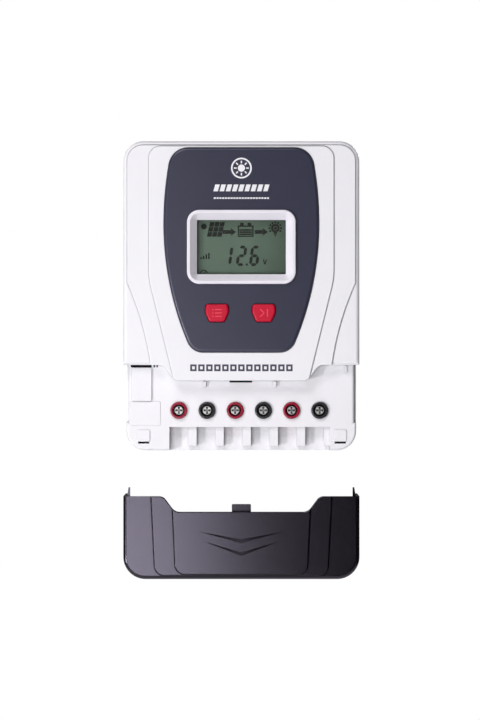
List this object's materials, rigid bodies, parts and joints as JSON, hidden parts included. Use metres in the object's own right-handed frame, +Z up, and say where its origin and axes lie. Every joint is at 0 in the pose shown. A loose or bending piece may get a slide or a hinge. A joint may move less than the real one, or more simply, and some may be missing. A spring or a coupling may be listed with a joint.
{
  "type": "solar charge controller",
  "caption": "Wall-mounted solar charge controller with a display, two push buttons, a row of screw clamps for wires and a lift-off terminal cover.",
  "frame": {"origin": "centre of the unit's back face, which is also the centre of the four keyholes", "axes": "+X right seen from the front, +Z up on the wall, -Y out of the wall towards the viewer"},
  "size_m": [0.1184, 0.0446, 0.2194],
  "materials": {
    "white_plastic": "satin",
    "slate_plastic": "satin",
    "bezel_plastic": "satin",
    "clear_window": "polished",
    "lcd_cell": "polished",
    "light_guide": "satin",
    "circuit_board": "satin",
    "black_plastic": "matte",
    "red_key": "satin",
    "red_terminal": "gloss",
    "black_terminal": "gloss",
    "cover_plastic": "fine texture",
    "black_aluminium": "anodised",
    "thermal_rubber": "matte",
    "tinned_steel": "plated",
    "bright_steel": "plated",
    "copper_bar": "tinned copper",
    "copper_winding": "enamelled",
    "capacitor_sleeve": "gloss"
  },
  "bodies": {
    "chassis": {"base_tray": "white_plastic", "board_link": "black_plastic", "board_screws": "tinned_steel", "capacitors": "capacitor_sleeve", "case_screws": "tinned_steel", "choke": "copper_winding", "clamp_bar_screws": "tinned_steel", "control_chips": "black_plastic", "current_bars": "copper_bar", "current_shunts": "copper_bar", "deck_screws": "tinned_steel", "display_board": "circuit_board", "display_screws": "tinned_steel", "front_case": "white_plastic", "front_panel": "slate_plastic", "heat_sink": "black_aluminium", "heat_sink_screws": "tinned_steel", "key_switches": "black_plastic", "lcd_backlight": "light_guide", "lcd_bezel": "bezel_plastic", "lcd_glass": "lcd_cell", "lcd_pins": "tinned_steel", "lcd_window": "clear_window", "main_board": "circuit_board", "mosfet_clamp": "tinned_steel", "mosfets": "black_plastic", "terminal_deck": "white_plastic", "terminal_housing_1": "red_terminal", "terminal_housing_2": "black_terminal", "terminal_housing_3": "red_terminal", "terminal_housing_4": "black_terminal", "terminal_housing_5": "red_terminal", "terminal_housing_6": "black_terminal", "thermal_pad": "thermal_rubber"},
    "button_left": {"button_left": "red_key", "switch_plunger_left": "black_plastic"},
    "button_right": {"button_right": "red_key", "switch_plunger_right": "black_plastic"},
    "cover": {"terminal_cover": "cover_plastic"},
    "screw_1": {"clamp_screw_1": "bright_steel"},
    "cage_1": {"clamp_cage_1": "tinned_steel"},
    "screw_2": {"clamp_screw_2": "bright_steel"},
    "cage_2": {"clamp_cage_2": "tinned_steel"},
    "screw_3": {"clamp_screw_3": "bright_steel"},
    "cage_3": {"clamp_cage_3": "tinned_steel"},
    "screw_4": {"clamp_screw_4": "bright_steel"},
    "cage_4": {"clamp_cage_4": "tinned_steel"},
    "screw_5": {"clamp_screw_5": "bright_steel"},
    "cage_5": {"clamp_cage_5": "tinned_steel"},
    "screw_6": {"clamp_screw_6": "bright_steel"},
    "cage_6": {"clamp_cage_6": "tinned_steel"}
  },
  "joints": [
    {"name": "cover_lift", "type": "slide", "parent": "chassis", "child": "cover", "axis": [0, 0, 1], "range_m": [0, 0.0654]},
    {"name": "button_left_press", "type": "slide", "parent": "chassis", "child": "button_left", "axis": [0, 1, 0], "range_m": [0, 0.0008], "stiffness_N_per_m": 400, "springref_m": -0.0008},
    {"name": "button_right_press", "type": "slide", "parent": "chassis", "child": "button_right", "axis": [0, 1, 0], "range_m": [0, 0.0008], "stiffness_N_per_m": 400, "springref_m": -0.0008},
    {"name": "screw_1_turn", "type": "hinge", "parent": "chassis", "child": "screw_1", "pos_m": [-0.0314, -0.0323, -0.0574], "axis": [0, 1, 0], "range_deg": [0, 1800]},
    {"name": "cage_1_rise", "type": "slide", "parent": "chassis", "child": "cage_1", "axis": [0, -1, 0], "range_m": [0, 0.0035]},
    {"name": "screw_2_turn", "type": "hinge", "parent": "chassis", "child": "screw_2", "pos_m": [-0.01725, -0.0323, -0.0574], "axis": [0, 1, 0], "range_deg": [0, 1800]},
    {"name": "cage_2_rise", "type": "slide", "parent": "chassis", "child": "cage_2", "axis": [0, -1, 0], "range_m": [0, 0.0035]},
    {"name": "screw_3_turn", "type": "hinge", "parent": "chassis", "child": "screw_3", "pos_m": [-0.0031, -0.0323, -0.0574], "axis": [0, 1, 0], "range_deg": [0, 1800]},
    {"name": "cage_3_rise", "type": "slide", "parent": "chassis", "child": "cage_3", "axis": [0, -1, 0], "range_m": [0, 0.0035]},
    {"name": "screw_4_turn", "type": "hinge", "parent": "chassis", "child": "screw_4", "pos_m": [0.01105, -0.0323, -0.0574], "axis": [0, 1, 0], "range_deg": [0, 1800]},
    {"name": "cage_4_rise", "type": "slide", "parent": "chassis", "child": "cage_4", "axis": [0, -1, 0], "range_m": [0, 0.0035]},
    {"name": "screw_5_turn", "type": "hinge", "parent": "chassis", "child": "screw_5", "pos_m": [0.0252, -0.0323, -0.0574], "axis": [0, 1, 0], "range_deg": [0, 1800]},
    {"name": "cage_5_rise", "type": "slide", "parent": "chassis", "child": "cage_5", "axis": [0, -1, 0], "range_m": [0, 0.0035]},
    {"name": "screw_6_turn", "type": "hinge", "parent": "chassis", "child": "screw_6", "pos_m": [0.03935, -0.0323, -0.0574], "axis": [0, 1, 0], "range_deg": [0, 1800]},
    {"name": "cage_6_rise", "type": "slide", "parent": "chassis", "child": "cage_6", "axis": [0, -1, 0], "range_m": [0, 0.0035]}
  ],
  "couplings": [
    {"joint": "screw_1_turn", "follows": "cage_1_rise", "rad_per_m": 8975.9},
    {"joint": "screw_2_turn", "follows": "cage_2_rise", "rad_per_m": 8975.9},
    {"joint": "screw_3_turn", "follows": "cage_3_rise", "rad_per_m": 8975.9},
    {"joint": "screw_4_turn", "follows": "cage_4_rise", "rad_per_m": 8975.9},
    {"joint": "screw_5_turn", "follows": "cage_5_rise", "rad_per_m": 8975.9},
    {"joint": "screw_6_turn", "follows": "cage_6_rise", "rad_per_m": 8975.9}
  ]
}
